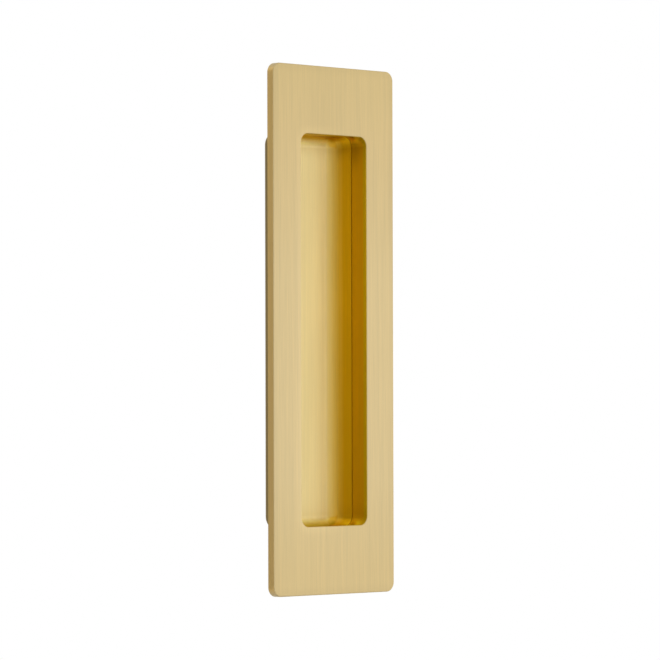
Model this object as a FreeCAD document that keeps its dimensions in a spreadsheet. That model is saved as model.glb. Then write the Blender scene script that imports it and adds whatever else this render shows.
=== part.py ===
import FreeCAD, Part
import os
import Sketcher

# Flush pull for a pocket door, in millimetres
# +Z is up, the finger side faces -Y, and Y = 0 is the face of the door that the pull is let into.
# The origin is the middle of the pull on that face.

SIZES = {
    "plate_height": 177.8,
    "plate_width": 57.15,
    "plate_thickness": 2.8,
    "plate_corner_radius": 3.3,
    "plate_edge_radius": 0.4,
    "back_rim_width": 3.0,
    "relief_corner_radius": 2.0,
    "end_border": 23.15,
    "side_border": 13.175,
    "opening_corner_radius": 3.1,
    "opening_edge_radius": 0.5,
    "collar_reach": 7.8,
    "collar_flare": 0.8,
    "collar_wall": 0.8,
    "collar_clearance": 0.05,
    "seam_gap": 0.1,
    "seam_bevel": 0.2,
    "flange_thickness": 1.5,
    "flange_clearance": 0.3,
    "flange_bend_radius": 0.8,
    "mouth_bevel": 0.4,
    "shoulder_radius": 0.5,
    "cup_wall": 1.2,
    "recess_depth": 17.3,
    "floor_radius": 3.7,
    "screw_length": 16.0,
    "screw_radius": 1.45,
    "screw_hole_radius": 1.65,
    "screw_head_radius": 2.7,
    "screw_head_angle": 90,
    "screw_head_rim": 0.2,
    "screw_head_sink": 0.05,
    "screw_seat_gap": 0.05,
    "screw_tip_length": 4.0,
    "drive_slot_length": 2.8,
    "drive_slot_width": 0.8,
    "drive_slot_depth": 0.9,
    "drive_corner_radius": 0.2,
}

# Tolerance for finding edges by their place
TOUCH = 1e-4

# The most of a corner's radius that a fillet along the corner's foot may take
FILLET_SHARE = 0.95

doc = FreeCAD.newDocument("pocket_door_pull")
sheet = doc.addObject("Spreadsheet::Sheet", "Sizes")
for row, (alias, value) in enumerate(SIZES.items(), start=1):
    sheet.set(f"A{row}", alias)
    sheet.set(f"B{row}", str(value))
    sheet.setAlias(f"B{row}", alias)
doc.recompute()


def grown(outline, margin):
    """The outline that runs parallel to another one, outside it by a margin."""
    width, height, corner = outline
    return f"{width} + 2 * {margin}", f"{height} + 2 * {margin}", f"{corner} + {margin}"


# Outlines as width, height and corner radius
PLATE = ("Sizes.plate_width", "Sizes.plate_height", "Sizes.plate_corner_radius")
RELIEF = (
    "Sizes.plate_width - 2 * Sizes.back_rim_width",
    "Sizes.plate_height - 2 * Sizes.back_rim_width",
    "Sizes.relief_corner_radius",
)
FLANGE = grown(RELIEF, "(-Sizes.flange_clearance)")
OPENING = (
    "Sizes.plate_width - 2 * Sizes.side_border",
    "Sizes.plate_height - 2 * Sizes.end_border",
    "Sizes.opening_corner_radius",
)
CAVITY = grown(OPENING, "Sizes.collar_flare")
COLLAR = grown(CAVITY, "Sizes.collar_wall")
MOUTH = grown(COLLAR, "Sizes.collar_clearance")
MOUTH_OUTSIDE = grown(MOUTH, "Sizes.cup_wall")
CUP = grown(CAVITY, "Sizes.cup_wall")
DRIVE_SLOT_LEVEL = ("Sizes.drive_slot_length", "Sizes.drive_slot_width", "Sizes.drive_corner_radius")
DRIVE_SLOT_UPRIGHT = ("Sizes.drive_slot_width", "Sizes.drive_slot_length", "Sizes.drive_corner_radius")

# Depths from one face to another, all along Y
FLOOR_Y = "Sizes.recess_depth - Sizes.plate_thickness"
BACK_Y = f"{FLOOR_Y} + Sizes.cup_wall"
COLLAR_TIP_Y = "Sizes.collar_reach - Sizes.plate_thickness"
SHOULDER_Y = f"{COLLAR_TIP_Y} + Sizes.seam_gap"
MOUTH_BACK_Y = f"{SHOULDER_Y} + Sizes.cup_wall"

# The floor's fillet stays inside the cavity's corner radius, and the cup's outside follows it
LARGEST_FLOOR_RADIUS = f"{FILLET_SHARE} * ({CAVITY[2]})"
FLOOR_RADIUS = f"min(Sizes.floor_radius; {LARGEST_FLOOR_RADIUS})"
BACK_RADIUS = f"{FLOOR_RADIUS} + Sizes.cup_wall"

# The collar's inside widens evenly from the plate's front to the collar's tip
FLARE_ANGLE = "atan(Sizes.collar_flare / Sizes.collar_reach)"

# The screws stand midway between the mouth's end and the flange's end
SCREW_Z = f"({MOUTH_OUTSIDE[1]} + {FLANGE[1]}) / 4"
HEAD_SLOPE = "tan(Sizes.screw_head_angle / 2)"
HEAD_CONE_HEIGHT = f"(Sizes.screw_head_radius - Sizes.screw_radius) / {HEAD_SLOPE}"
HEAD_RIM_DEPTH = "(Sizes.screw_head_sink + Sizes.screw_head_rim)"
COUNTERSINK_RADIUS = f"Sizes.screw_head_radius + Sizes.screw_seat_gap + {HEAD_RIM_DEPTH} * {HEAD_SLOPE}"


def number(expression):
    """The value of an expression over the sheet, as a plain number."""
    return float(sheet.evalExpression(expression))


def new_body(label):
    """An empty body for one sub-part."""
    body = doc.addObject("PartDesign::Body", label)
    body.Label = label
    return body


def origin_plane(body, role):
    """The body's own origin plane with this role."""
    return next(feature for feature in body.Origin.OriginFeatures if feature.Role == role)


def sketch_on(body, name, role, in_front="0"):
    """An empty sketch on one of the body's origin planes, or a set distance along its normal."""
    sketch = body.newObject("Sketcher::SketchObject", name)
    sketch.AttachmentSupport = [(origin_plane(body, role), "")]
    sketch.MapMode = "FlatFace"
    sketch.setExpression("AttachmentOffset.Base.z", in_front)
    return sketch


def name_size(sketch, name, constraint, expression):
    """Adds a dimension to a sketch and binds it to an expression."""
    index = sketch.addConstraint(constraint)
    sketch.renameConstraint(index, name)
    sketch.setExpression(f"Constraints.{name}", expression)


def outline_sketch(body, name, outline, in_front="0"):
    """A rounded rectangle about the body's Y axis, in a plane parallel to the door and in front of it."""
    sketch = sketch_on(body, name, "XZ_Plane", in_front)
    width, height, corner = (number(part) for part in outline)
    right = width / 2
    top = height / 2
    turn = FreeCAD.Units.Quantity("90 deg").getValueAs("rad").Value
    normal = FreeCAD.Vector(0, 0, 1)
    # Bottom, right, top and left sides, each followed by the corner at its end
    sides = [
        ((corner - right, -top), (right - corner, -top), (right - corner, corner - top)),
        ((right, corner - top), (right, top - corner), (right - corner, top - corner)),
        ((right - corner, top), (corner - right, top), (corner - right, top - corner)),
        ((-right, top - corner), (-right, corner - top), (corner - right, corner - top)),
    ]
    for step, (start, end, centre) in enumerate(sides):
        sketch.addGeometry(Part.LineSegment(FreeCAD.Vector(*start, 0), FreeCAD.Vector(*end, 0)))
        circle = Part.Circle(FreeCAD.Vector(*centre, 0), normal, corner)
        sketch.addGeometry(Part.ArcOfCircle(circle, (step - 1) * turn, step * turn))
    bottom, lower_right, right_side, _, top_side, upper_left, left_side, _ = range(8)
    for edge in range(8):
        sketch.addConstraint(Sketcher.Constraint("Tangent", edge, 2, (edge + 1) % 8, 1))
    for edge in (bottom, top_side):
        sketch.addConstraint(Sketcher.Constraint("Horizontal", edge))
    for edge in (right_side, left_side):
        sketch.addConstraint(Sketcher.Constraint("Vertical", edge))
    for arc in (3, 5, 7):
        sketch.addConstraint(Sketcher.Constraint("Equal", lower_right, arc))
    sketch.addConstraint(Sketcher.Constraint("Symmetric", lower_right, 3, upper_left, 3, -1, 1))
    name_size(sketch, "width", Sketcher.Constraint("DistanceX", left_side, 1, right_side, 1, width), outline[0])
    name_size(sketch, "height", Sketcher.Constraint("DistanceY", bottom, 1, top_side, 1, height), outline[1])
    name_size(sketch, "corner", Sketcher.Constraint("Radius", lower_right, corner), outline[2])
    return sketch


def pad(body, name, sketch, length, towards_door):
    """Material from a sketch, away from the door or towards it."""
    feature = body.newObject("PartDesign::Pad", name)
    feature.Profile = sketch
    feature.Reversed = towards_door
    feature.setExpression("Length", length)
    doc.recompute()
    return feature


def pocket(body, name, sketch, length, towards_door=True, taper="0"):
    """A cut from a sketch, which has to take some material away and may widen as it goes."""
    before = body.Shape.Volume
    feature = body.newObject("PartDesign::Pocket", name)
    feature.Profile = sketch
    feature.Reversed = not towards_door
    feature.setExpression("Length", length)
    feature.setExpression("TaperAngle", taper)
    doc.recompute()
    if not feature.Shape.Volume < before - TOUCH:
        raise RuntimeError(f"{name} cuts nothing")
    return feature


def edges_at(feature, depth, outer=None):
    """Names of a feature's edges that lie at one depth: all, only the outermost loop, or all but that."""
    shape = feature.Shape
    flat = [
        (f"Edge{index}", edge.BoundBox)
        for index, edge in enumerate(shape.Edges, start=1)
        if abs(edge.BoundBox.YMin - depth) < TOUCH and abs(edge.BoundBox.YMax - depth) < TOUCH
    ]
    reach_x = max(box.XMax for _, box in flat)
    reach_z = max(box.ZMax for _, box in flat)

    def outermost(box):
        across = max(box.XMax, -box.XMin) > reach_x - TOUCH
        upright = max(box.ZMax, -box.ZMin) > reach_z - TOUCH
        return across or upright

    return [name for name, box in flat if outer is None or outermost(box) == outer]


def face_at(feature, depth):
    """Name of a feature's flat face that lies at one depth."""
    faces = enumerate(feature.Shape.Faces, start=1)
    places = [(f"Face{index}", face.BoundBox) for index, face in faces]
    return next(name for name, box in places if max(abs(box.YMin - depth), abs(box.YMax - depth)) < TOUCH)


def fillet(body, name, edges, radius):
    """Rounds edges of the body's last feature."""
    base = body.Tip
    feature = body.newObject("PartDesign::Fillet", name)
    feature.Base = (base, edges)
    feature.setExpression("Radius", radius)
    doc.recompute()
    return feature


def bevel(body, name, edges, size):
    """Bevels edges of the body's last feature at 45 degrees."""
    base = body.Tip
    feature = body.newObject("PartDesign::Chamfer", name)
    feature.Base = (base, edges)
    feature.setExpression("Size", size)
    doc.recompute()
    return feature


def faceplate():
    """Plate with the recess opening, hollowed at the back for the cup's flange, and its flared collar."""
    body = new_body("faceplate")
    front = -number("Sizes.plate_thickness")
    plate = outline_sketch(body, "plate_outline", PLATE)
    pad(body, "plate", plate, "Sizes.plate_thickness", towards_door=False)
    relief = outline_sketch(body, "relief_outline", RELIEF)
    pocket(body, "flange_relief", relief, "Sizes.flange_thickness", towards_door=False)
    collar = outline_sketch(body, "collar_outline", COLLAR, "Sizes.flange_thickness")
    collar_length = f"{COLLAR_TIP_Y} + Sizes.flange_thickness"
    pad(body, "collar", collar, collar_length, towards_door=True)
    opening = outline_sketch(body, "opening_outline", OPENING, "Sizes.plate_thickness")
    last = pocket(body, "opening", opening, "Sizes.collar_reach", taper=FLARE_ANGLE)
    last = fillet(body, "plate_edge", edges_at(last, front, outer=True), "Sizes.plate_edge_radius")
    last = fillet(body, "opening_edge", edges_at(last, front, outer=False), "Sizes.opening_edge_radius")
    bevel(body, "collar_tip", edges_at(last, number(COLLAR_TIP_Y)), "Sizes.seam_bevel")
    return body


def shelled(body, name, open_face, wall):
    """Hollows the body's last feature inwards, with one face left open."""
    base = body.Tip
    feature = body.newObject("PartDesign::Thickness", name)
    feature.Base = (base, [open_face])
    feature.Reversed = True
    feature.setExpression("Value", wall)
    doc.recompute()
    return feature


def recess_cup():
    """Tray of the finger recess, its wider mouth for the collar and the flange that is screwed on."""
    body = new_body("recess_cup")
    flange_front = -number("Sizes.flange_thickness")
    outside = outline_sketch(body, "cup_outline", CUP, "Sizes.flange_thickness")
    last = pad(body, "cup", outside, f"{BACK_Y} + Sizes.flange_thickness", towards_door=True)
    last = fillet(body, "back_edge", edges_at(last, number(BACK_Y)), BACK_RADIUS)
    shelled(body, "tray", face_at(last, flange_front), "Sizes.cup_wall")
    mouth_outside = outline_sketch(body, "mouth_outside_outline", MOUTH_OUTSIDE, "Sizes.flange_thickness")
    pad(body, "mouth_outside", mouth_outside, f"{MOUTH_BACK_Y} + Sizes.flange_thickness", towards_door=True)
    flange = outline_sketch(body, "flange_outline", FLANGE)
    pad(body, "flange", flange, "Sizes.flange_thickness", towards_door=False)
    throat = outline_sketch(body, "throat_outline", CAVITY, "Sizes.flange_thickness")
    pocket(body, "throat", throat, f"{MOUTH_BACK_Y} + Sizes.flange_thickness")
    mouth = outline_sketch(body, "mouth_outline", MOUTH, "Sizes.flange_thickness")
    last = pocket(body, "mouth", mouth, f"{SHOULDER_Y} + Sizes.flange_thickness")
    last = fillet(body, "flange_bend", edges_at(last, 0, outer=False), "Sizes.flange_bend_radius")
    last = bevel(body, "mouth_edge", edges_at(last, flange_front, outer=False), "Sizes.mouth_bevel")
    last = bevel(body, "seam_edge", edges_at(last, number(SHOULDER_Y), outer=False), "Sizes.seam_bevel")
    shoulder = edges_at(last, number(MOUTH_BACK_Y), outer=True)
    fillet(body, "shoulder_edge", shoulder, "Sizes.shoulder_radius")
    screw_holes(body)
    return body


def screw_holes(body):
    """Countersunk holes at the flange's two ends."""
    sketch = sketch_on(body, "screw_hole_centres", "XZ_Plane", "Sizes.flange_thickness")
    height = number(SCREW_Z)
    radius = number("Sizes.screw_hole_radius")
    for index, (name, place) in enumerate((("upper", height), ("lower", -height))):
        circle = Part.Circle(FreeCAD.Vector(0, place, 0), FreeCAD.Vector(0, 0, 1), radius)
        sketch.addGeometry(circle)
        sketch.addConstraint(Sketcher.Constraint("PointOnObject", index, 3, -2))
        name_size(sketch, f"{name}_radius", Sketcher.Constraint("Radius", index, radius), "Sizes.screw_hole_radius")
    name_size(sketch, "upper_height", Sketcher.Constraint("DistanceY", -1, 1, 0, 3, height), SCREW_Z)
    name_size(sketch, "lower_height", Sketcher.Constraint("DistanceY", 1, 3, -1, 1, height), SCREW_Z)
    doc.recompute()
    before = body.Shape.Volume
    hole = body.newObject("PartDesign::Hole", "screw_hole_pair")
    hole.Profile = sketch
    doc.recompute()
    hole.DepthType = "Dimension"
    hole.DrillPoint = "Flat"
    hole.HoleCutType = "Countersink"
    hole.setExpression("Depth", "2 * Sizes.flange_thickness")
    hole.setExpression("Diameter", "2 * Sizes.screw_hole_radius")
    hole.setExpression("HoleCutDiameter", f"2 * ({COUNTERSINK_RADIUS})")
    hole.setExpression("HoleCutCountersinkAngle", "Sizes.screw_head_angle")
    doc.recompute()
    if not hole.Shape.Volume < before - TOUCH:
        raise RuntimeError("the screw holes cut nothing")


def fixing_screw(label, height):
    """Countersunk wood screw along +Y, its head's top in the body's origin plane."""
    body = new_body(label)
    sketch = sketch_on(body, f"{label}_profile", "XY_Plane")
    head = number("Sizes.screw_head_radius")
    rim = number("Sizes.screw_head_rim")
    shank = number("Sizes.screw_radius")
    neck = rim + number(HEAD_CONE_HEIGHT)
    length = number("Sizes.screw_length")
    tip = length - number("Sizes.screw_tip_length")
    corners = [(0, 0), (head, 0), (head, rim), (shank, neck), (shank, tip), (0, length)]
    for index, corner in enumerate(corners):
        following = corners[(index + 1) % len(corners)]
        sketch.addGeometry(Part.LineSegment(FreeCAD.Vector(*corner, 0), FreeCAD.Vector(*following, 0)))
    for edge in range(6):
        sketch.addConstraint(Sketcher.Constraint("Coincident", edge, 2, (edge + 1) % 6, 1))
    sketch.addConstraint(Sketcher.Constraint("Coincident", 0, 1, -1, 1))
    sketch.addConstraint(Sketcher.Constraint("Horizontal", 0))
    sketch.addConstraint(Sketcher.Constraint("Vertical", 1))
    sketch.addConstraint(Sketcher.Constraint("Vertical", 3))
    sketch.addConstraint(Sketcher.Constraint("Vertical", 5))
    name_size(sketch, "head_radius", Sketcher.Constraint("DistanceX", 0, 1, 0, 2, head), "Sizes.screw_head_radius")
    name_size(sketch, "head_rim", Sketcher.Constraint("DistanceY", 1, 1, 1, 2, rim), "Sizes.screw_head_rim")
    name_size(sketch, "shank_radius", Sketcher.Constraint("DistanceX", -1, 1, 3, 1, shank), "Sizes.screw_radius")
    name_size(sketch, "cone", Sketcher.Constraint("DistanceY", 2, 1, 2, 2, neck - rim), HEAD_CONE_HEIGHT)
    name_size(sketch, "length", Sketcher.Constraint("DistanceY", -1, 1, 4, 2, length), "Sizes.screw_length")
    name_size(sketch, "tip", Sketcher.Constraint("DistanceY", 4, 1, 4, 2, length - tip), "Sizes.screw_tip_length")
    turned = body.newObject("PartDesign::Revolution", f"{label}_blank")
    turned.Profile = sketch
    turned.ReferenceAxis = (sketch, ["V_Axis"])
    turned.Angle = 360
    doc.recompute()
    for name, slot in (("level", DRIVE_SLOT_LEVEL), ("upright", DRIVE_SLOT_UPRIGHT)):
        cross = outline_sketch(body, f"{label}_{name}_slot_outline", slot)
        pocket(body, f"{label}_{name}_slot", cross, "Sizes.drive_slot_depth")
    body.setExpression("Placement.Base.y", "Sizes.screw_head_sink - Sizes.flange_thickness")
    body.setExpression("Placement.Base.z", height)
    return body


SUB_PARTS = [
    faceplate(),
    recess_cup(),
    fixing_screw("fixing_screw_upper", SCREW_Z),
    fixing_screw("fixing_screw_lower", f"-({SCREW_Z})"),
]
doc.recompute()

for item in doc.Objects:
    if "Invalid" in item.State or "Error" in item.State:
        raise RuntimeError(f"{item.Label} failed: {item.State}")
for part in SUB_PARTS:
    if part.Shape.isNull() or not part.Shape.isValid() or len(part.Shape.Solids) != 1:
        raise RuntimeError(f"{part.Label} isn't one valid solid")

os.makedirs("parts", exist_ok=True)
for part in SUB_PARTS:
    part.Shape.exportStep(f"parts/{part.Label}.step")
    box = part.Shape.BoundBox
    print(f"{part.Label}: {part.Shape.Volume:.1f} mm3, X {box.XMin:.2f} to {box.XMax:.2f},"
          f" Y {box.YMin:.2f} to {box.YMax:.2f}, Z {box.ZMin:.2f} to {box.ZMax:.2f}")
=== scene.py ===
import math

import bpy
from mathutils import Matrix, Vector


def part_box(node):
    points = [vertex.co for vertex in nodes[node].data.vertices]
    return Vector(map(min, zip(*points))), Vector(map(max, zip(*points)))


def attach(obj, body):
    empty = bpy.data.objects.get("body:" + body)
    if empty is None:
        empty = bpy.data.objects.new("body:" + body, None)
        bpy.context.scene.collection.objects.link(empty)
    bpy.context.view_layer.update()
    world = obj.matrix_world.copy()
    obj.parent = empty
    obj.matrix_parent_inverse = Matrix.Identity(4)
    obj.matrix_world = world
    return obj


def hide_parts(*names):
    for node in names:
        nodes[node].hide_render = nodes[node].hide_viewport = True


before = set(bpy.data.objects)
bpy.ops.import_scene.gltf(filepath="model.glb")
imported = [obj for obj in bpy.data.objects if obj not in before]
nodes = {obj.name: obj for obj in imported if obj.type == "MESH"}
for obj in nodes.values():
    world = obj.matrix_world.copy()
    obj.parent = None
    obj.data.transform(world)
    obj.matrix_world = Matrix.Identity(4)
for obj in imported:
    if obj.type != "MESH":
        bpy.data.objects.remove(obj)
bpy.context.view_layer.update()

# Looks of the pocket door pull: brushed satin brass, threaded screws, a soft white studio
# Metres, +Z up, the finger side faces -Y, and Y = 0 is the face of the door.

PLATE_LOW, PLATE_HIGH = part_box("faceplate")
_, CUP_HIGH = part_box("recess_cup")
FRONT_Y = PLATE_LOW.y

MM = 0.001

# The photograph's camera, for a square picture
SENSOR_MM = 36
LENS_MM = 207.53
CAMERA_PLACE = (-0.906326, -0.907601 + FRONT_Y, -0.026175)
CAMERA_YAW = 0.783507
CAMERA_PITCH = 0.020509
CAMERA_ROLL = -0.002402
CAMERA_NEAR = 0.05
CAMERA_FAR = 50

# Linear colours of the brass
SIDE_TONE = (0.739, 0.521, 0.198)
# The upper and the lower sides' tone is painted light and shade
SIDE_END_TONE = (0.600, 0.475, 0.250)
# The rim's and the collar's deep gold tones carry painted shade and reflection, the collar's lower
# end a painted glint
RIM_TONE = (0.700, 0.490, 0.008)
COLLAR_TONE = (0.752, 0.430, 0.004)
COLLAR_END_TONE = (0.759, 0.545, 0.012)
# The floor's tone is painted lighter than the face's: painted light falling into the recess
FLOOR_TONE = (0.867, 0.736, 0.369)
SEAM_TONE = (0.520, 0.270, 0.004)
# The dark tone of the backs is painted shade
BACK_SHADE_TONE = (0.300, 0.215, 0.080)
SCREW_TONE = (0.640, 0.490, 0.230)

# Painted shade in the four corners of the recess's foot: what is left of each part of the colour
# there
NOOK_SHADE = (0.900, 0.790, 0.320)

# Tones of the plate's face from its lower end to its upper one, with painted light and shade:
# lightest from a fifth to three fifths of the way up, darker towards both ends, most at the upper
# one
FACE_RISE = (
    (0.04, (0.694, 0.550, 0.286)),
    (0.22, (0.715, 0.576, 0.317)),
    (0.60, (0.715, 0.576, 0.317)),
    (0.85, (0.675, 0.533, 0.279)),
    (1.00, (0.662, 0.523, 0.264)),
)

# Tones, with painted light, shade and highlights, from the recess's walls down their rounded foot
# to its floor, by how squarely each place faces the front: 0 on a wall, 1 on the floor
SIDE_FOOT = (
    (0.00, (0.726, 0.460, 0.007)),
    (0.14, (0.846, 0.618, 0.088)),
    (0.38, (0.880, 0.662, 0.135)),
    (0.55, (0.928, 0.704, 0.162)),
    (0.71, (0.891, 0.655, 0.165)),
    (0.87, (0.768, 0.580, 0.178)),
    (0.95, (0.780, 0.612, 0.228)),
    (1.00, FLOOR_TONE),
)
UPPER_FOOT = (
    (0.00, (0.760, 0.500, 0.004)),
    (0.30, (0.710, 0.430, 0.004)),
    (0.50, (0.685, 0.465, 0.032)),
    (0.61, (0.770, 0.575, 0.125)),
    (0.71, (0.885, 0.720, 0.255)),
    (0.84, (1.000, 0.850, 0.370)),
    (0.93, (0.840, 0.710, 0.270)),
    (0.98, (0.775, 0.630, 0.272)),
    (1.00, FLOOR_TONE),
)
LOWER_FOOT = (
    (0.00, (0.715, 0.508, 0.012)),
    (0.38, (0.640, 0.500, 0.040)),
    (0.50, (0.665, 0.570, 0.080)),
    (0.61, (0.810, 0.690, 0.200)),
    (0.87, (1.000, 0.890, 0.350)),
    (0.94, (0.870, 0.715, 0.300)),
    (1.00, FLOOR_TONE),
)

# How much more light the recess's walls catch as they turn from its upper end's wall, at 0,
# through a corner to a side wall, at 0.5, and through the next corner to the lower end's, at 1
COLLAR_CORNERS = (
    (0.00, 0.20),
    (0.07, 0.80),
    (0.14, 0.85),
    (0.22, 0.55),
    (0.33, 0.00),
    (0.62, 0.00),
    (0.85, 0.55),
)
CUP_CORNERS = (
    (0.00, 0.20),
    (0.07, 0.28),
    (0.20, 0.42),
    (0.25, 0.27),
    (0.33, 0.08),
    (0.40, 0.00),
    (0.62, 0.00),
    (0.85, 0.60),
)

# Outlines as half the width, half the height and the corners' radius
OPENING = (15.4 * MM, 65.75 * MM, 3.1 * MM)
PLATE = (PLATE_HIGH.x, PLATE_HIGH.z, 3.3 * MM)

# The recess's tones take over from the face's within this margin round the opening, over
# this depth below the face
RECESS_MARGIN = 1.5 * MM
RECESS_START = 0.3 * MM

# The seam between the collar and the cup, as the start and the end of its shadow along Y
SEAM = (5.0 * MM, 5.35 * MM)

# Each range below says where a change begins and ends, and its values at these two places

# Painted light and shade on the face: painted shade along the plate's outline, and painted light
# at the left of the opening and at the upper right
FACE_EDGE = (-4 * MM, -0.5 * MM, 1, 0.965)
BY_OPENING = (0, 4 * MM, 1, 0)
LEFT_OF_OPENING = (-10 * MM, 10 * MM, 0.07, 0)
ABOVE_OPENING = (50 * MM, 70 * MM, 0, 1)
RIGHT_OF_MIDDLE = (-5 * MM, 12 * MM, 0, 0.022)

# The plate's sides, with painted light and shade: lighter towards the top, another tone on the
# upper and the lower one, and the face's tone where they round over to it
SIDE_RISE = (PLATE_LOW.z, PLATE_HIGH.z, 0.97, 1.06)
SIDE_ENDS = (0.15, 0.8, 0, 1)
SIDE_TO_FACE = (0.2, 0.8, 0, 1)

# The opening's rounded rim gives way to the collar, which has another tone at its lower end, a
# painted glint
RIM_TO_COLLAR = (-1.3 * MM, -0.9 * MM, 0, 1)
COLLAR_END = (0.25, 0.85, 0, 1)

# The recess's walls: lighter higher up, shaded near both ends, the upper ends more so away from
# the rim, and the corners' light, which is weaker at the rim and least at the rim's upper end
WALL_RISE = (-50 * MM, 15 * MM, 0.91, 1.025)
COLLAR_SHADE = (53 * MM, 66 * MM, 0, 0.44)
CUP_SHADE = (56.5 * MM, 66 * MM, 0, 0.29)
UPPER_SHADE_IN = (-1.5 * MM, 3.5 * MM, 0.4, 1)
LOWER_SHADE = (-66 * MM, -57 * MM, 0.87, 1)
RIM_CATCH = (-0.2, 0.2, -0.2, 0.4)
CATCH_IN = (-1 * MM, 4 * MM)

# From the side walls to the end walls, and from the upper end to the lower one
SIDE_TO_END = (-0.3, 0.3, 0, 1)
UPPER_TO_LOWER = (-0.05, 0.05, 0, 1)

# How far up the side walls the light of their rounded foot reaches
FOOT_GLOW = (8.6 * MM, 10.9 * MM, 0, 0.1)

# From the walls to their foot, to the start of the floor and to the flat of the floor
WALL_TO_FOOT = (0.1, 0.5, 0, 1)
FOOT_TO_FLOOR = (0.8, 1, 0, 1)
FOOT_TO_FLAT = (0.97, 1, 0, 1)
WALL_TO_NOOK = (0.1, 0.4, 0, 1)
NOOK_TURN = (0.02, 0.2, 0, 1)

# Painted light and shade: the floor is lighter towards its sides and its upper end, and the foot
# darker higher up
FLOOR_ASIDE = (2 * MM, 12 * MM, -0.03, 0.09)
FLOOR_RISE = (50 * MM, 62 * MM, 0, 0.09)
FOOT_RISE = (5 * MM, 30 * MM, 0.005, -0.03)

# Strength of the grain, roughness and anisotropy
FACE_FINISH = (0.33, 0.6, 0.8)
SCREW_FINISH = (0.3, 0.35, 0)

# The cup's roughness and anisotropy, and its grain, fainter on the floor than on the walls
CUP_FINISH = (0.5, 0.8)
CUP_GRAIN = (0.1, 0.9, 0.36, 0.2)

# The grain along Z, in cycles a metre on each axis
FINE_STREAKS = (4200, 4200, 60)
BROAD_STREAKS = (900, 900, 16)
CLOUDS = (45, 45, 20)
FINE_SHARE = 0.6
STREAK_LIGHT = (0.3, 0.7, -0.3, 0.3)
CLOUD_LIGHT = (0.3, 0.7, 0.985, 1.015)
STREAK_ENDS = (0.25, 0.75)
ROUGHNESS_SWING = 0.06
GRAIN_DEPTH = 0.02 * MM

# The fixing screws' thread
THREAD_START_Y = 3.2 * MM
THREAD_PITCH = 1.3 * MM
THREAD_CORE = 0.98 * MM
SHANK_RADIUS = 1.2 * MM
CREST_RADIUS = 1.45 * MM
TOOTH_HALF_WIDTH = 0.2
SCREW_TIP = 4 * MM
HEAD_RIM = 0.2 * MM
RING_STEPS = 48
STEPS_A_PITCH = 14

# The head's cross recess: its reach, half the width of its arms, its depth, and its scale at
# that depth and as far in front of the head
CROSS = (1.4 * MM, 0.4 * MM, 0.9 * MM)
CROSS_NARROW = 0.55
CROSS_WIDE = 1.3
SHARP_DEGREES = 35

# The studio
FLOOR_GREY = 0.86
FLOOR_WIDTH = 2.6
FLOOR_DROP = 0.16
FLOOR_FADE = (0.2, 0.55, 0, 1)
KEY_SOFTBOX = {"place": (0.1, -1.4, 0.0), "width": 1.0, "height": 2.4, "power": 7.2}
CARDS = {
    "left_front_card": {"place": (-1.6, -0.9, 0), "width": 1.6, "height": 2.4, "level": 0.25},
    "left_back_card": {"place": (-1.5, 1.3, 0), "width": 1.8, "height": 2.4, "level": 0.45},
}


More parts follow.
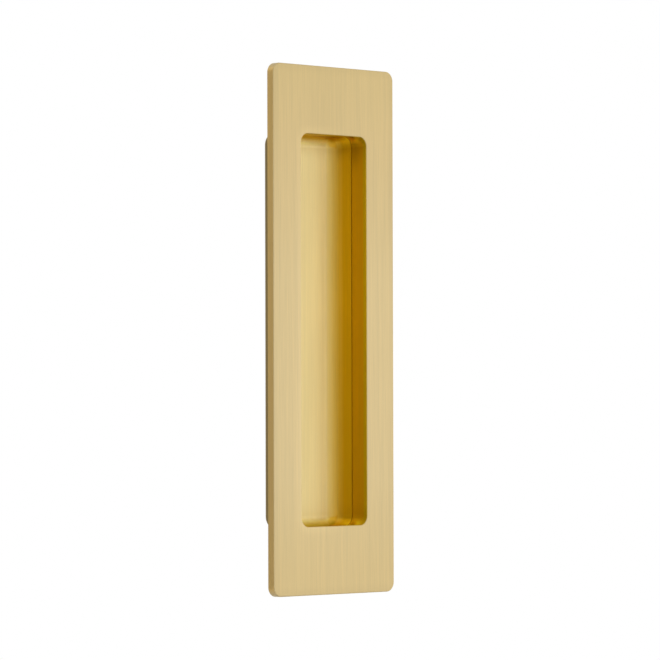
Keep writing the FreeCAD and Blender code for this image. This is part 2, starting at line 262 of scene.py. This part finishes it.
class Shader:
    """A material's node tree, with short calls for the nodes that these materials share."""

    def __init__(self, name):
        self.material = bpy.data.materials.new(name)
        self.material.use_nodes = True
        self.tree = self.material.node_tree
        self.tree.nodes.clear()
        self.output = self.node("ShaderNodeOutputMaterial")

    def node(self, kind, **settings):
        """A new node with its settings."""
        made = self.tree.nodes.new(kind)
        for key, value in settings.items():
            setattr(made, key, value)
        return made

    def feed(self, socket, value):
        """Links another socket to this one, or sets its value."""
        if isinstance(value, bpy.types.NodeSocket):
            self.tree.links.new(value, socket)
        else:
            socket.default_value = value

    def math(self, operation, *values):
        """A number worked out from one to three others."""
        made = self.node("ShaderNodeMath", operation=operation)
        for socket, value in zip(made.inputs, values):
            self.feed(socket, value)
        return made.outputs[0]

    def product(self, first, *others):
        """All the numbers, multiplied."""
        for other in others:
            first = self.math("MULTIPLY", first, other)
        return first

    def total(self, first, *others):
        """All the numbers, added up."""
        for other in others:
            first = self.math("ADD", first, other)
        return first

    def span(self, value, low, high, start, end, smooth=True):
        """A value mapped from the range low to high onto the range start to end."""
        made = self.node("ShaderNodeMapRange")
        made.interpolation_type = "SMOOTHSTEP" if smooth else "LINEAR"
        for socket, number in zip(made.inputs, (value, low, high, start, end)):
            self.feed(socket, number)
        return made.outputs[0]

    def mix(self, share, first, second):
        """A colour between two others."""
        made = self.node("ShaderNodeMix", data_type="RGBA")
        self.feed(made.inputs["Factor"], share)
        for name, colour in (("A", first), ("B", second)):
            socket = next(s for s in made.inputs if s.name == name and s.type == "RGBA")
            self.feed(socket, (*colour, 1) if isinstance(colour, tuple) else colour)
        return next(s for s in made.outputs if s.type == "RGBA")

    def scaled(self, colour, factor):
        """A colour, lighter or darker."""
        made = self.node("ShaderNodeVectorMath", operation="SCALE")
        self.feed(made.inputs[0], colour)
        self.feed(made.inputs["Scale"], factor)
        return made.outputs[0]

    def tinted(self, colour, tint):
        """A colour, with each of its parts scaled by its own share."""
        made = self.node("ShaderNodeVectorMath", operation="MULTIPLY")
        self.feed(made.inputs[0], colour)
        self.feed(made.inputs[1], tint)
        return made.outputs[0]

    def ramp(self, value, stops):
        """A colour that runs through tones at set places."""
        made = self.node("ShaderNodeValToRGB")
        elements = made.color_ramp.elements
        while len(elements) < len(stops):
            elements.new(0.5)
        for element, (place, tone) in zip(elements, stops):
            element.position = place
            element.color = (*tone, 1)
        self.feed(made.inputs[0], value)
        return made.outputs[0]

    def noise(self, place, scale, detail, roughness=0.5):
        """Noise over the object's own coordinates, with its own scale on each axis."""
        mapping = self.node("ShaderNodeMapping")
        self.feed(mapping.inputs["Vector"], place)
        mapping.inputs["Scale"].default_value = scale
        made = self.node("ShaderNodeTexNoise")
        made.inputs["Scale"].default_value = 1
        made.inputs["Detail"].default_value = detail
        made.inputs["Roughness"].default_value = roughness
        self.feed(made.inputs["Vector"], mapping.outputs[0])
        return made.outputs["Fac"]

    def beyond(self, x, z, outline):
        """How far a point lies outside a rounded rectangle, negative inside it."""
        half_width, half_height, corner = outline
        squares = []
        for place, half in ((x, half_width), (z, half_height)):
            past = self.math("SUBTRACT", self.math("ABSOLUTE", place), half - corner)
            squares.append(self.math("POWER", self.math("MAXIMUM", past, 0), 2))
        return self.math("SUBTRACT", self.math("SQRT", self.total(*squares)), corner)


class Brass:
    """Metal with a grain along Z, whose colour comes from the place and the normal."""

    def __init__(self, name):
        self.shader = Shader(name)
        self.place = self.shader.node("ShaderNodeTexCoord").outputs["Object"]
        self.x, self.y, self.z = self.split(self.place)
        normal = self.shader.node("ShaderNodeNewGeometry").outputs["Normal"]
        self.across, self.deep, self.upright = self.split(normal)

    def split(self, vector):
        """A vector's three parts."""
        axes = self.shader.node("ShaderNodeSeparateXYZ")
        self.shader.feed(axes.inputs[0], vector)
        return axes.outputs

    def finish(self, base, grain, roughness, anisotropy):
        """Adds the grain to the colour, the bump and the roughness, and returns the material."""
        shader = self.shader
        fine = shader.noise(self.place, FINE_STREAKS, detail=3, roughness=0.65)
        broad = shader.noise(self.place, BROAD_STREAKS, detail=2)
        cloud = shader.noise(self.place, CLOUDS, detail=2)
        streaks = shader.total(
            shader.product(fine, FINE_SHARE),
            shader.product(broad, 1 - FINE_SHARE),
        )

        # The grain darkens and lightens the colour a little
        swing = shader.product(shader.span(streaks, *STREAK_LIGHT, smooth=False), grain)
        light = shader.product(
            shader.total(swing, 1),
            shader.span(cloud, *CLOUD_LIGHT, smooth=False),
        )

        bump = shader.node("ShaderNodeBump")
        shader.feed(bump.inputs["Strength"], grain)
        bump.inputs["Distance"].default_value = GRAIN_DEPTH
        shader.feed(bump.inputs["Height"], streaks)

        smoothest = roughness - ROUGHNESS_SWING
        roughest = roughness + ROUGHNESS_SWING
        rough = shader.span(streaks, *STREAK_ENDS, smoothest, roughest, smooth=False)
        tangent = shader.node("ShaderNodeTangent", direction_type="RADIAL", axis="Z")
        metal = shader.node("ShaderNodeBsdfPrincipled")
        metal.inputs["Metallic"].default_value = 1
        metal.inputs["Anisotropic"].default_value = anisotropy
        shader.feed(metal.inputs["Base Color"], shader.scaled(base, light))
        shader.feed(metal.inputs["Roughness"], rough)
        shader.feed(metal.inputs["Normal"], bump.outputs[0])
        shader.feed(metal.inputs["Tangent"], tangent.outputs[0])
        shader.feed(shader.output.inputs["Surface"], metal.outputs[0])
        return shader.material


def wall_light(brass, upper_shade, corners):
    """How much light the recess's walls get, by height, depth and the way they turn."""
    shader = brass.shader
    rise = shader.span(brass.z, *WALL_RISE, smooth=False)
    upper = shader.product(
        shader.span(brass.z, *upper_shade),
        shader.span(brass.y, *UPPER_SHADE_IN),
    )
    lower = shader.span(brass.z, *LOWER_SHADE)

    # The corners between the walls catch more light
    turn = shader.span(brass.upright, -1, 1, 0, 1, smooth=False)
    catch = shader.ramp(turn, [(place, (light, light, light)) for place, light in corners])
    at_rim = shader.span(brass.upright, *RIM_CATCH)
    catch = shader.product(catch, shader.span(brass.y, *CATCH_IN, at_rim, 1))
    return shader.product(rise, shader.math("SUBTRACT", 1, upper), lower, shader.total(catch, 1))


def seam_shadow(brass, tone):
    """A tone with the fine dark line where the collar meets the cup."""
    shader = brass.shader
    start, end = SEAM
    past = shader.math("GREATER_THAN", brass.y, start)
    before = shader.math("LESS_THAN", brass.y, end)
    return shader.mix(shader.product(past, before), tone, SEAM_TONE)


def face_tone(brass, mouth):
    """The plate's face, with light and shade painted by height and by how far each place is from
    the outlines.
    """
    shader = brass.shader
    height = shader.span(brass.z, PLATE_LOW.z, PLATE_HIGH.z, 0, 1, smooth=False)
    edge = shader.span(shader.beyond(brass.x, brass.z, PLATE), *FACE_EDGE)
    left = shader.product(
        shader.span(mouth, *BY_OPENING),
        shader.span(brass.x, *LEFT_OF_OPENING),
    )
    right = shader.product(
        shader.span(brass.z, *ABOVE_OPENING),
        shader.span(brass.x, *RIGHT_OF_MIDDLE),
    )
    light = shader.product(edge, shader.total(left, right, 1))
    return shader.scaled(shader.ramp(height, FACE_RISE), light)


def side_tone(brass):
    """The plate's four narrow sides, with light and shade painted by height and on the ends."""
    shader = brass.shader
    side = shader.scaled(SIDE_TONE, shader.span(brass.z, *SIDE_RISE))
    ends = shader.span(shader.math("ABSOLUTE", brass.upright), *SIDE_ENDS)
    return shader.mix(ends, side, SIDE_END_TONE)


def collar_tone(brass):
    """The rounded rim of the opening, then the collar down to the seam, with painted light and
    shade.
    """
    shader = brass.shader
    collar = shader.mix(shader.span(brass.upright, *COLLAR_END), COLLAR_TONE, COLLAR_END_TONE)
    collar = shader.mix(shader.span(brass.y, *RIM_TO_COLLAR), RIM_TONE, collar)
    collar = shader.scaled(collar, wall_light(brass, COLLAR_SHADE, COLLAR_CORNERS))
    return seam_shadow(brass, collar)


def faceplate_brass():
    """Pale brushed face with painted shade at the edges, deeper sides, and the golden collar
    inside.
    """
    brass = Brass("brushed_faceplate_brass")
    shader = brass.shader
    mouth = shader.beyond(brass.x, brass.z, OPENING)
    facing = shader.span(shader.math("ABSOLUTE", brass.deep), *SIDE_TO_FACE)
    skin = shader.mix(facing, side_tone(brass), face_tone(brass, mouth))
    # The plate's back takes the dark tone, painted shade
    skin = shader.mix(shader.math("GREATER_THAN", brass.deep, 0.5), skin, BACK_SHADE_TONE)
    inside = shader.product(
        shader.math("LESS_THAN", mouth, RECESS_MARGIN),
        shader.span(brass.y, FRONT_Y, FRONT_Y + RECESS_START, 0, 1),
    )
    return brass.finish(shader.mix(inside, skin, collar_tone(brass)), *FACE_FINISH)


def foot_tone(brass, facing):
    """Tones of the recess, with painted light and shade, from its walls down to its floor, on its
    sides and ends.
    """
    shader = brass.shader
    across = shader.math("ABSOLUTE", brass.across)
    upright = shader.math("ABSOLUTE", brass.upright)
    glow = shader.span(brass.y, *FOOT_GLOW)
    sides = shader.ramp(shader.math("MAXIMUM", facing, glow), SIDE_FOOT)
    below = shader.span(brass.upright, *UPPER_TO_LOWER)
    ends = shader.mix(below, shader.ramp(facing, UPPER_FOOT), shader.ramp(facing, LOWER_FOOT))
    end = shader.span(shader.math("SUBTRACT", upright, across), *SIDE_TO_END)
    tone = shader.mix(end, sides, ends)
    # Painted shade in the corners of the recess's foot
    nook = shader.product(
        shader.span(shader.product(across, upright), *NOOK_TURN),
        shader.span(facing, *WALL_TO_NOOK),
    )
    return shader.mix(nook, tone, shader.tinted(tone, NOOK_SHADE))


def floor_light(brass, facing):
    """How much light the recess's floor and the walls' foot get, by place."""
    shader = brass.shader
    aside = shader.product(
        shader.span(shader.math("ABSOLUTE", brass.x), *FLOOR_ASIDE, smooth=False),
        shader.span(facing, *FOOT_TO_FLAT),
    )
    high = shader.product(
        shader.span(brass.z, *FLOOR_RISE),
        shader.span(facing, *FOOT_TO_FLOOR),
    )
    foot = shader.product(
        shader.span(brass.z, *FOOT_RISE),
        shader.span(facing, *WALL_TO_FOOT),
    )
    return shader.total(high, foot, aside, 1)


def cup_brass():
    """Pale floor and golden walls with painted light and shade, and dark outside with painted
    shade.
    """
    brass = Brass("satin_cup_brass")
    shader = brass.shader
    facing = shader.math("MAXIMUM", shader.product(brass.deep, -1), 0)
    inside = shader.scaled(foot_tone(brass, facing), floor_light(brass, facing))
    walls = shader.math("SUBTRACT", 1, shader.span(facing, *WALL_TO_FOOT))
    shade = shader.math("SUBTRACT", wall_light(brass, CUP_SHADE, CUP_CORNERS), 1)
    inside = shader.scaled(inside, shader.math("MULTIPLY_ADD", walls, shade, 1))
    inside = seam_shadow(brass, inside)

    # The outer surfaces turn away from the cup's middle
    outward = shader.total(
        shader.product(brass.across, brass.x),
        shader.product(brass.upright, brass.z),
        shader.product(brass.deep, CUP_HIGH.y),
    )
    # The outside takes the dark tone, painted shade
    tone = shader.mix(shader.math("GREATER_THAN", outward, 0), inside, BACK_SHADE_TONE)
    return brass.finish(tone, shader.span(facing, *CUP_GRAIN), *CUP_FINISH)


def screw_brass():
    """Plain turned brass."""
    return Brass("turned_screw_brass").finish(SCREW_TONE, *SCREW_FINISH)


def add_object(name, data):
    """A new object in the scene."""
    made = bpy.data.objects.new(name, data)
    bpy.context.scene.collection.objects.link(made)
    return made


def mesh_object(name, points, faces, material=None):
    """A new object made of points and faces."""
    mesh = bpy.data.meshes.new(name)
    mesh.from_pydata(points, [], faces)
    if material is not None:
        mesh.materials.append(material)
    return add_object(name, mesh)


def tooth(turns):
    """Height of a sharp screw thread over one turn, from 0 at the root to 1 at the crest."""
    return max(0, 1 - abs(turns % 1 - 0.5) / TOOTH_HALF_WIDTH)


def thread_radius(y, turn, tip_y):
    """Radius of the screw's threaded end at a depth and at a share of a turn."""
    taper = min(1, (tip_y - y) / SCREW_TIP)
    pitches = (y - THREAD_START_Y) / THREAD_PITCH
    run_in = min(1, pitches)
    core = SHANK_RADIUS + (THREAD_CORE - SHANK_RADIUS) * run_in
    return (core + (CREST_RADIUS - core) * run_in * tooth(pitches - turn)) * taper


def screw_rings(low, high):
    """Rings from the head to near the point, each as its depth and its radii over a turn."""
    head = (high.z - low.z) / 2
    neck_y = low.y + HEAD_RIM + head - SHANK_RADIUS
    plain = ((low.y, head), (low.y + HEAD_RIM, head), (neck_y, SHANK_RADIUS))
    rings = [(y, [radius] * RING_STEPS) for y, radius in plain]
    step = THREAD_PITCH / STEPS_A_PITCH
    for index in range(int((high.y - THREAD_START_Y) / step)):
        y = THREAD_START_Y + index * step
        rings.append((y, [thread_radius(y, i / RING_STEPS, high.y) for i in range(RING_STEPS)]))
    return rings


def ring_faces(count):
    """Faces over rings of points: a cap on the first, and a fan from the last to a point."""
    faces = [tuple(range(RING_STEPS))]
    around = [(index, (index + 1) % RING_STEPS) for index in range(RING_STEPS)]
    for ring in range(count - 1):
        start = ring * RING_STEPS
        after = start + RING_STEPS
        faces += [(start + i, after + i, after + j, start + j) for i, j in around]
    last = (count - 1) * RING_STEPS
    tip = count * RING_STEPS
    faces += [(last + i, tip, last + j) for i, j in around]
    return faces


def cross_cutter(centre, top):
    """The cross recess of the head, which narrows as it goes in."""
    reach, half, depth = CROSS
    plan = []
    for quarter in range(4):
        turn = Matrix.Rotation(quarter * math.pi / 2, 2)
        plan += [turn @ Vector(corner) for corner in ((half, reach), (-half, reach), (-half, half))]
    points = []
    for y, share in ((top - depth, CROSS_WIDE), (top + depth, CROSS_NARROW)):
        points += [(corner.x * share, y, centre + corner.y * share) for corner in plan]
    count = len(plan)
    faces = [tuple(reversed(range(count))), tuple(range(count, 2 * count))]
    for i in range(count):
        j = (i + 1) % count
        faces.append((count + i, count + j, j, i))
    return mesh_object("cross_cutter", points, faces)


def cut_cross(screw, centre, top):
    """Cuts the cross recess into the head and keeps its edges sharp."""
    cutter = cross_cutter(centre, top)
    cut = screw.modifiers.new("cross_recess", "BOOLEAN")
    cut.operation = "DIFFERENCE"
    cut.solver = "EXACT"
    cut.object = cutter
    bpy.context.view_layer.update()
    cut_screw = screw.evaluated_get(bpy.context.evaluated_depsgraph_get())
    cut_mesh = bpy.data.meshes.new_from_object(cut_screw)
    screw.modifiers.clear()
    screw.data = cut_mesh
    bpy.data.objects.remove(cutter)
    screw.data.set_sharp_from_angle(angle=math.radians(SHARP_DEGREES))


def wood_screw(side, material):
    """Countersunk screw with a cross recess, a plain shank and a thread down to its point."""
    low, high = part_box(f"fixing_screw_{side}")
    centre = (low.z + high.z) / 2
    rings = screw_rings(low, high)
    points = []
    for y, radii in rings:
        for index, reach in enumerate(radii):
            angle = index / RING_STEPS * math.tau
            points.append((reach * math.cos(angle), y, centre + reach * math.sin(angle)))
    points.append((0, high.y, centre))
    screw = mesh_object(f"threaded_screw_{side}", points, ring_faces(len(rings)), material)
    screw.data.validate()
    screw.data.shade_smooth()
    cut_cross(screw, centre, low.y)
    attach(screw, "root")
    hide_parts(f"fixing_screw_{side}")


def dress(node, material):
    """Gives a CAD node a better material."""
    node.material_slots[0].material = material


def camera():
    """The photograph's camera, worked out from the plate's straight edges."""
    yaw, pitch, roll = CAMERA_YAW, CAMERA_PITCH, CAMERA_ROLL
    flat = math.cos(pitch)
    ahead = Vector((math.sin(yaw) * flat, math.cos(yaw) * flat, math.sin(pitch)))
    level = Vector((math.cos(yaw), -math.sin(yaw), 0))
    upright = level.cross(ahead)
    right = math.cos(roll) * level + math.sin(roll) * upright
    up = math.cos(roll) * upright - math.sin(roll) * level
    data = bpy.data.cameras.new("photo_camera")
    data.sensor_width = SENSOR_MM
    data.lens = LENS_MM
    data.clip_start = CAMERA_NEAR
    data.clip_end = CAMERA_FAR
    made = add_object("photo_camera", data)
    turn = Matrix((right, up, -ahead)).transposed().to_4x4()
    made.matrix_world = Matrix.Translation(CAMERA_PLACE) @ turn
    bpy.context.scene.camera = made


def white_world():
    """A plain white surrounding."""
    world = bpy.data.worlds.new("white_room")
    world.use_nodes = True
    bpy.context.scene.world = world
    background = world.node_tree.nodes["Background"]
    background.inputs["Color"].default_value = (1, 1, 1, 1)
    background.inputs["Strength"].default_value = 1.0


def rectangle(name, width, height, material):
    """A flat upward rectangle about its own origin."""
    half, rise = width / 2, height / 2
    corners = [(-half, -rise, 0), (half, -rise, 0), (half, rise, 0), (-half, rise, 0)]
    return mesh_object(name, corners, [(0, 1, 2, 3)], material)


def floor():
    """A pale floor well below the pull, which fades into the white surrounding."""
    shader = Shader("pale_floor")
    axes = shader.node("ShaderNodeSeparateXYZ")
    shader.feed(axes.inputs[0], shader.node("ShaderNodeTexCoord").outputs["Object"])
    x, y, _ = axes.outputs
    squares = shader.total(shader.math("POWER", x, 2), shader.math("POWER", y, 2))
    paint = shader.node("ShaderNodeBsdfDiffuse")
    paint.inputs["Color"].default_value = (FLOOR_GREY, FLOOR_GREY, FLOOR_GREY, 1)
    clear = shader.node("ShaderNodeBsdfTransparent")
    blend = shader.node("ShaderNodeMixShader")
    shader.feed(blend.inputs[0], shader.span(shader.math("SQRT", squares), *FLOOR_FADE))
    shader.feed(blend.inputs[1], paint.outputs[0])
    shader.feed(blend.inputs[2], clear.outputs[0])
    shader.feed(shader.output.inputs["Surface"], blend.outputs[0])
    made = rectangle("floor", FLOOR_WIDTH, FLOOR_WIDTH, shader.material)
    made.location = (0, 0, PLATE_LOW.z - FLOOR_DROP)


def aim(thing, place):
    """Puts a lamp or a card at a place, facing the pull with its -Z side."""
    thing.location = place
    thing.rotation_mode = "QUATERNION"
    thing.rotation_quaternion = (-Vector(place)).to_track_quat("-Z", "Y")


def softbox(name, place, width, height, power):
    """A soft rectangular lamp that faces the pull."""
    data = bpy.data.lights.new(name, "AREA")
    data.shape = "RECTANGLE"
    data.size = width
    data.size_y = height
    data.energy = power
    aim(add_object(name, data), place)


def grey_card(name, place, width, height, level):
    """A card out of shot that the metal's turned-away sides mirror."""
    shader = Shader(name)
    glow = shader.node("ShaderNodeEmission")
    glow.inputs["Color"].default_value = (level, level, level, 1)
    shader.feed(shader.output.inputs["Surface"], glow.outputs[0])
    made = rectangle(name, width, height, shader.material)
    aim(made, place)
    made.visible_camera = False


def studio():
    """The white surrounding, the floor, the lamp and the cards."""
    white_world()
    floor()
    softbox("key_softbox", **KEY_SOFTBOX)
    for name, card in CARDS.items():
        grey_card(name, **card)
    bpy.context.scene.view_settings.view_transform = "Standard"


dress(nodes["faceplate"], faceplate_brass())
dress(nodes["recess_cup"], cup_brass())
turned = screw_brass()
for side in ("upper", "lower"):
    wood_screw(side, turned)
camera()
studio()
